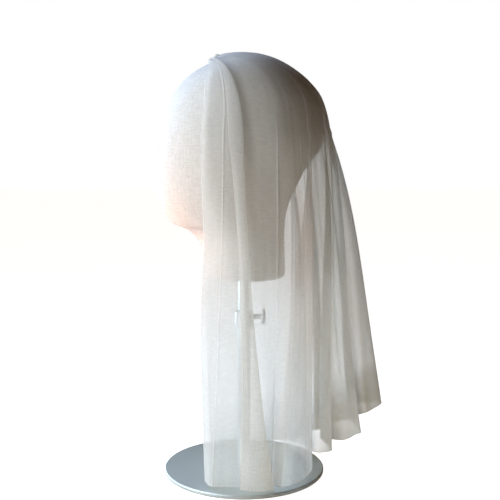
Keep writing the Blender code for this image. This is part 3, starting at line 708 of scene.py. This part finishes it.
def head_canvas():
    """Bleached cotton canvas drawn over a foam head, plain woven, with dark slubs. It looks soft."""
    material, tree, output = new_material("bleached_cotton_canvas")
    place = add_node(tree, "ShaderNodeUVMap", {"uv_map": "canvas_mm"}).outputs[0]
    # Threads 1.8 mm apart, 12 mm long between slubs, coarser than the real 0.5 mm so that they show
    warp_and_weft = []
    for scale in ((1.0 / 1.8, 1.0 / 12.0, 1.0), (1.0 / 12.0, 1.0 / 1.8, 1.0)):
        stretched = add_node(tree, "ShaderNodeMapping", {"Scale": scale}, {"Vector": place})
        threads = add_node(tree, "ShaderNodeTexNoise", FLAT_NOISE, {"Vector": stretched.outputs[0]})
        warp_and_weft.append(threads.outputs[0])
    weave = add_node(tree, "ShaderNodeMath", {"operation": "MULTIPLY"},
                     dict(enumerate(warp_and_weft))).outputs[0]
    shade = ramp_between(tree, weave, "C0BDB6", "CCC9C3", 0.12, 0.40)
    # Slubs and husk: dark flecks 5 to 15 mm apart, the largest 1.6 mm across
    fleck = add_node(tree, "ShaderNodeTexVoronoi", {
        "voronoi_dimensions": "2D", "Scale": 1.0 / 6.0, "Randomness": 1.0,
    }, {"Vector": place})
    chance = add_node(tree, "ShaderNodeSeparateColor", {}, {0: fleck.outputs["Color"]})
    size = add_node(tree, "ShaderNodeMapRange", {1: 0.45, 2: 1.0, 3: 0.0, 4: 0.16},
                    {0: chance.outputs[0]})
    inside = add_node(tree, "ShaderNodeMath", {"operation": "SUBTRACT"},
                      {0: size.outputs[0], 1: fleck.outputs["Distance"]})
    rare = add_node(tree, "ShaderNodeMapRange", {1: 0.0, 2: 0.06, 3: 0.0, 4: 0.6},
                    {0: inside.outputs[0]})
    flecked = add_node(tree, "ShaderNodeMix", {"data_type": "RGBA"}, {0: rare.outputs[0], 6: shade})
    flecked.inputs[7].default_value = linear_colour("9A8F80")
    bump = add_node(tree, "ShaderNodeBump", {"Strength": 0.35, "Distance": 0.0003},
                    {"Height": weave})
    lit = add_node(tree, "ShaderNodeBsdfPrincipled", {
        "Roughness": 0.92, "Specular IOR Level": 0.2, "Sheen Weight": 0.1,
    }, {"Base Color": flecked.outputs[2], "Normal": bump.outputs[0]})
    tree.links.new(lit.outputs[0], output.inputs[0])
    return material


def brushed_steel():
    """Stainless steel sheet, brushed one way. The marks stretch its reflections to soft streaks."""
    material, tree, output = new_material("brushed_stainless_steel")
    place = add_node(tree, "ShaderNodeTexCoord").outputs["Object"]
    # Brush marks 0.6 mm apart and 60 mm long, coarser than the real 0.1 mm so that they show
    along = add_node(tree, "ShaderNodeMapping", {"Scale": (1.0 / 0.0006, 1.0 / 0.060, 1.0)},
                     {"Vector": place})
    marks = add_node(tree, "ShaderNodeTexNoise", {"Scale": 1.0, "Detail": 3.0, "Roughness": 0.6},
                     {"Vector": along.outputs[0]})
    rough = add_node(tree, "ShaderNodeMapRange", {1: 0.3, 2: 0.7, 3: 0.50, 4: 0.64},
                     {0: marks.outputs[0]})
    bump = add_node(tree, "ShaderNodeBump", {"Strength": 0.12, "Distance": 0.0002},
                    {"Height": marks.outputs[0]})
    lit = add_node(tree, "ShaderNodeBsdfPrincipled", {"Metallic": 1.0}, {
        "Base Color": ramp_between(tree, marks.outputs[0], "D3D8D4", "DEE2DE"),
        "Roughness": rough.outputs[0],
        "Normal": bump.outputs[0],
    })
    tree.links.new(lit.outputs[0], output.inputs[0])
    return material


def plated_steel():
    """Steel tube with bright nickel plating, polished. It shows narrow highlights down its side."""
    material, tree, output = new_material("nickel_plated_steel")
    place = add_node(tree, "ShaderNodeTexCoord").outputs["Object"]
    # Faint wipe marks 3 mm across
    wipe = add_node(tree, "ShaderNodeTexNoise", {"Scale": 1.0 / 0.003, "Detail": 3.0},
                    {"Vector": place})
    rough = add_node(tree, "ShaderNodeMapRange", {1: 0.3, 2: 0.7, 3: 0.34, 4: 0.46},
                     {0: wipe.outputs[0]})
    lit = add_node(tree, "ShaderNodeBsdfPrincipled", {"Metallic": 1.0}, {
        "Base Color": ramp_between(tree, wipe.outputs[0], "E6E6E3", "F0EFEC"),
        "Roughness": rough.outputs[0],
    })
    tree.links.new(lit.outputs[0], output.inputs[0])
    return material


def comb_wire():
    """Silvered brass wire, drawn and bent. It shines in short glints under the net."""
    material, tree, output = new_material("silvered_brass_wire")
    place = add_node(tree, "ShaderNodeTexCoord").outputs["Object"]
    # Drawing marks 0.3 mm apart
    draw = add_node(tree, "ShaderNodeTexNoise", {"Scale": 1.0 / 0.0003, "Detail": 1.0},
                    {"Vector": place})
    rough = add_node(tree, "ShaderNodeMapRange", {1: 0.3, 2: 0.7, 3: 0.2, 4: 0.34},
                     {0: draw.outputs[0]})
    lit = add_node(tree, "ShaderNodeBsdfPrincipled", {"Metallic": 1.0}, {
        "Base Color": ramp_between(tree, draw.outputs[0], "B9B6AE", "CFCCC4"),
        "Roughness": rough.outputs[0],
    })
    tree.links.new(lit.outputs[0], output.inputs[0])
    return material


def make_piece(name, vertices, faces, material, maps=None):
    """A smooth mesh piece, with a map for each of its surface places that are given."""
    mesh = bpy.data.meshes.new(name)
    mesh.from_pydata([tuple(vertex) for vertex in vertices], [], faces)
    for map_name, places in (maps or {}).items():
        layer = mesh.uv_layers.new(name=map_name)
        for loop in mesh.loops:
            layer.data[loop.index].uv = places[loop.vertex_index]
    mesh.materials.append(material)
    mesh.shade_smooth()
    mesh.update()
    made = bpy.data.objects.new(name, mesh)
    bpy.context.scene.collection.objects.link(made)
    return made


def bridge_rings(rings, cap_ends=True):
    """Vertices and faces of a skin through rings that all have as many points."""
    sides = len(rings[0])
    vertices = [point for ring in rings for point in ring]
    faces = []
    for level in range(len(rings) - 1):
        this_ring, next_ring = level * sides, (level + 1) * sides
        for side in range(sides):
            other = (side + 1) % sides
            faces.append((this_ring + side, this_ring + other, next_ring + other, next_ring + side))
    if cap_ends:
        faces.append(tuple(reversed(range(sides))))
        faces.append(tuple((len(rings) - 1) * sides + side for side in range(sides)))
    return vertices, faces


def thread_rings(path, radius, sides=6):
    """Round rings along a path, turned as little as they can be from one to the next."""
    angles = [2.0 * math.pi * side / sides for side in range(sides)]
    rings = []
    across = mathutils.Vector((0.0, 0.0, 1.0))
    for index, point in enumerate(path):
        ahead = path[min(index + 1, len(path) - 1)] - path[max(index - 1, 0)]
        ahead.normalize()
        across = across - ahead * across.dot(ahead)
        if across.length < 1e-6:
            across = ahead.orthogonal()
        across.normalize()
        up = ahead.cross(across)
        rings.append([
            point + (across * math.cos(angle) + up * math.sin(angle)) * radius for angle in angles
        ])
    return rings


def closeness_of_net(lengths, folds):
    """How close the net is drawn at each point of the cloth, for the tulle's material."""
    rows = veil_fold_rows()
    at_crown, spread, at_hem = (
        [smooth_between([row[name] for row in rows], fold) for fold in folds]
        for name in ("crown_net", "spread_net", "hem_net")
    )
    closeness = []
    for length in lengths:
        above_hem = lengths[-1] - length
        high = above_hem / lengths[-1]
        near_hem = max(1.0 - above_hem / HEM_NET_REACH, 0.0)
        for crown_net, spread_net, hem_net in zip(at_crown, spread, at_hem):
            drawn = crown_net * high + spread_net * (1.0 - high)
            closeness.append((drawn * (1.0 + (hem_net - 1.0) * near_hem), 0.0))
    return closeness


def build_veil(material):
    """The thin cloth, from the heading to the hem."""
    surface, folds = veil_middle_surface()
    surface = ripple_veil(surface, folds)
    levels, columns = len(surface), len(surface[0])
    # The net's own places are measured where the cloth is spread, and down its flat side
    widths = widths_along(surface[levels * 2 // 3])
    lengths = widths_along([row[columns // 3] for row in surface])
    vertices = [point for row in surface for point in row]
    places = [
        (width * 1000.0, (lengths[-1] - length) * 1000.0) for length in lengths for width in widths
    ]
    faces = []
    for level in range(levels - 1):
        for column in range(columns - 1):
            corner = level * columns + column
            faces.append((corner, corner + columns, corner + columns + 1, corner + 1))
    maps = {"cloth_mm": places, "net_closeness": closeness_of_net(lengths, folds)}
    return make_piece("veil_cloth", vertices, faces, material, maps), surface


def build_hem(surface, material):
    """The rolled and stitched edge, down one cut edge, along the hem and up the other."""
    path = [row[0] for row in surface]
    path += surface[-1][1:]
    path += [row[-1] for row in reversed(surface[:-1])]
    rings = thread_rings(path, HEM_THREAD_RADIUS)
    return make_piece("veil_rolled_hem", *bridge_rings(rings), material)


def heading_path(count):
    """The line of the gathered heading, which rides up on the folded layers at its near end."""
    path = []
    for step in range(count + 1):
        share = HEADING_END + (1.0 - 2.0 * HEADING_END) * step / count
        near = max(1.0 - share / HEADING_NEAR_SHARE, 0.0)
        rise = HEADING_NEAR_RISE * near ** 2 * (3.0 - 2.0 * near)
        path.append(over_head(*gather_curve(share, HEADING_INSET), HEADING_LIFT + rise))
    return path


def build_heading(material):
    """The gathered edge, rolled into a puckered binding that follows the comb."""
    path = heading_path(HEADING_STEPS)
    wander, wander_turns = HEADING_PUCKER_WANDER
    rings = []
    for index, point in enumerate(path):
        share = index / HEADING_STEPS
        ahead = path[min(index + 1, HEADING_STEPS)] - path[max(index - 1, 0)]
        out = (point - HEAD_CENTRE).normalized()
        across = ahead.cross(out).normalized()
        up = across.cross(ahead).normalized()
        if up.dot(out) < 0.0:
            up.negate()
        from_end = min(share, 1.0 - share) + HEADING_BLUNT_END
        near_end = min(1.0, from_end / HEADING_ROUND_END)
        taper = math.sqrt(1.0 - (1.0 - near_end) ** 2)
        phase = 2.0 * math.pi * HEADING_PUCKERS * share + wander * math.sin(wander_turns * share)
        ring = []
        for side in range(HEADING_SIDES):
            angle = 2.0 * math.pi * side / HEADING_SIDES
            pucker = math.sin(phase + HEADING_PUCKER_TWIST * math.sin(angle))
            size = taper * (1.0 - HEADING_PUCKER_DEPTH * (0.5 + 0.5 * pucker))
            ring.append(point + across * HEADING_HALF_WIDTH * size * math.cos(angle)
                        + up * HEADING_HALF_HEIGHT * size * math.sin(angle))
        rings.append(ring)
    return make_piece("veil_gathered_heading", *bridge_rings(rings), material)


def build_heading_stitches(material):
    """Small hand stitches that bind the heading to the comb, one every 3 mm or so."""
    stitch_maker = random.Random(STITCH_SEED)
    path = heading_path(STITCH_PLACES)
    half_width = HEADING_HALF_WIDTH * STITCH_STANDS_OUT
    half_height = HEADING_HALF_HEIGHT * STITCH_STANDS_OUT
    arc_start, arc_end = STITCH_ARC
    vertices, faces = [], []
    for index in range(2, STITCH_PLACES - 1, 2):
        ahead = (path[index + 1] - path[index - 1]).normalized()
        out = (path[index] - HEAD_CENTRE).normalized()
        across = ahead.cross(out).normalized()
        lean = stitch_maker.uniform(-STITCH_LEAN, STITCH_LEAN)
        stitch = []
        for step in range(STITCH_POINTS):
            share = step / (STITCH_POINTS - 1)
            angle = math.pi * (arc_start + (arc_end - arc_start) * share)
            over = across * half_width * math.cos(angle) + out * half_height * math.sin(angle)
            stitch.append(path[index] + over + ahead * lean * (2.0 * share - 1.0))
        stitch_vertices, stitch_faces = bridge_rings(thread_rings(stitch, STITCH_RADIUS, sides=5))
        start = len(vertices)
        vertices += stitch_vertices
        faces += [tuple(start + corner for corner in face) for face in stitch_faces]
    return make_piece("veil_heading_stitches", vertices, faces, material)


def build_head(material):
    """The faceless head and neck, smooth, with its rounded foot and the tube's socket."""
    turns = [2.0 * math.pi * side / HEAD_SIDES for side in range(HEAD_SIDES)]
    rings = [
        [(*head_outline_point(front, back, half_width, turn), height) for turn in turns]
        for height, front, back, half_width in reversed(HEAD_LEVELS[:-1])
    ]
    front, back, half_width = HEAD_ROWS[-1][1:]
    for step in range(1, HEAD_CORNER_STEPS + 1):
        angle = math.radians(90.0 * step / HEAD_CORNER_STEPS)
        inset = HEAD_CORNER * (1.0 - math.cos(angle))
        height = HEAD_BOTTOM + HEAD_CORNER * (1.0 - math.sin(angle))
        rings.append([
            (*head_outline_point(front + inset, back - inset, half_width - inset, turn), height)
            for turn in turns
        ])
    for height in (HEAD_BOTTOM, HEAD_BOTTOM + SOCKET_DEPTH):
        rings.append([
            (SOCKET_RADIUS * math.sin(turn), SOCKET_RADIUS * math.cos(turn), height)
            for turn in turns
        ])
    vertices, faces = bridge_rings(rings, cap_ends=False)
    last_ring = (len(rings) - 1) * HEAD_SIDES
    faces.append(tuple(last_ring + side for side in range(HEAD_SIDES)))
    crown = len(vertices)
    vertices.append((0.0, HEAD_ROWS[0][1], HEAD_ROWS[0][0]))
    faces += [(crown, (side + 1) % HEAD_SIDES, side) for side in range(HEAD_SIDES)]
    faces = [tuple(reversed(face)) for face in faces]
    places = [
        (math.atan2(x, y - HEAD_CENTRE.y) * HEAD_GIRTH_RADIUS * 1000.0, z * 1000.0)
        for x, y, z in vertices
    ]
    head = make_piece("head_canvas_cover", vertices, faces, material, {"canvas_mm": places})
    head.data.set_sharp_from_angle(angle=math.radians(HEAD_SHARP_ANGLE))
    return head


def repaint(node, material):
    """A CAD node takes a finished material on all its slots."""
    for slot in node.material_slots:
        slot.material = material


def lay_floor():
    """A plain pale floor that carries only the soft shadow of the stand."""
    material, tree, output = new_material("pale_matt_floor")
    grain = add_node(tree, "ShaderNodeTexNoise", {"Scale": 40.0, "Detail": 2.0})
    colour = ramp_between(tree, grain.outputs[0], "E2DCD4", "E9E4DC")
    matt = add_node(tree, "ShaderNodeBsdfPrincipled", {"Roughness": 0.9, "Specular IOR Level": 0.0},
                    {"Base Color": colour})
    # To the eye it is nearly as bright as the white surround
    bright = add_node(tree, "ShaderNodeEmission", {"Color": (1.0, 1.0, 1.0, 1.0), "Strength": 0.95})
    seen = add_node(tree, "ShaderNodeLightPath")
    only_seen = add_node(tree, "ShaderNodeMixShader", {}, {
        0: seen.outputs["Is Camera Ray"], 2: bright.outputs[0],
    })
    both = add_node(tree, "ShaderNodeAddShader", {}, {0: matt.outputs[0], 1: only_seen.outputs[0]})
    tree.links.new(both.outputs[0], output.inputs[0])
    corners = [(-6, -6, 0), (6, -6, 0), (6, 6, 0), (-6, 6, 0)]
    make_piece("floor", corners, [(0, 1, 2, 3)], material)


def surround_studio():
    """A white surround to look at, that lights the stand dimly and warmly, like a room."""
    world = bpy.data.worlds.new("pale_studio")
    bpy.context.scene.world = world
    world.use_nodes = True
    tree = world.node_tree
    tree.nodes.clear()
    place = add_node(tree, "ShaderNodeTexCoord").outputs["Generated"]
    # Paler towards the window and the wall behind, darker and warmer towards the room
    side = add_node(tree, "ShaderNodeVectorMath", {
        "operation": "DOT_PRODUCT", 1: (-0.55, -0.83, 0.10),
    }, {0: place})
    around = ramp_between(tree, side.outputs["Value"], "3C1000", "998450", -0.6, 0.8)
    soft = add_node(tree, "ShaderNodeBackground", {"Strength": 0.5}, {"Color": around})
    plain = add_node(tree, "ShaderNodeBackground", {"Color": (1.0, 1.0, 1.0, 1.0), "Strength": 1.0})
    seen = add_node(tree, "ShaderNodeLightPath")
    both = add_node(tree, "ShaderNodeMixShader", {}, {
        0: seen.outputs["Is Camera Ray"], 1: soft.outputs[0], 2: plain.outputs[0],
    })
    output = tree.nodes.new("ShaderNodeOutputWorld")
    tree.links.new(both.outputs[0], output.inputs[0])


def light_studio():
    """Soft square lamps: windows before the face, low down and behind, sky above, and bounces.

    The key window stands before the face and the cool sky light over it. The back window lights
    the cloth from behind, and the small bounces warm the chin and the trailing back.
    """
    for name, row in LAMPS.items():
        settings = dict(zip(LAMP_COLUMNS, row))
        lamp = bpy.data.lights.new(name, "AREA")
        lamp.size = settings["size"]
        lamp.spread = math.radians(settings["spread"])
        lamp.energy = settings["power"]
        lamp.color = linear_colour(settings["tint"])[:3]
        holder = bpy.data.objects.new(name, lamp)
        holder.location = settings["place"]
        holder.visible_glossy = settings["reflects"]
        aim_way = mathutils.Vector(settings["aim"]) - mathutils.Vector(settings["place"])
        holder.rotation_euler = aim_way.to_track_quat("-Z", "Y").to_euler()
        bpy.context.scene.collection.objects.link(holder)


def main():
    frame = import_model()
    place_camera()
    scene = bpy.context.scene
    scene.view_settings.view_transform = "Standard"
    # Enough to see through every layer of the net
    scene.cycles.transparent_max_bounces = 48

    tulle, thread, binding = soft_tulle(), hem_thread(), gathered_binding()
    nodes = frame["nodes"]
    plated = plated_steel()
    repaint(nodes["base_plate"], brushed_steel())
    for name in ("lower_tube", "clamp_collar", "clamp_knob", "upper_tube"):
        repaint(nodes[name], plated)
    repaint(nodes["veil_comb"], comb_wire())

    head = build_head(head_canvas())
    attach(head, "head")
    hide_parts("head_form")

    veil, surface = build_veil(tulle)
    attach(veil, "head")
    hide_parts("veil_panel")
    hem = build_hem(surface, thread)
    heading = build_heading(binding)
    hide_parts("veil_heading")
    stitches = build_heading_stitches(thread)
    for piece in (hem, heading, stitches):
        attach(piece, "head")

    lay_floor()
    surround_studio()
    light_studio()


main()
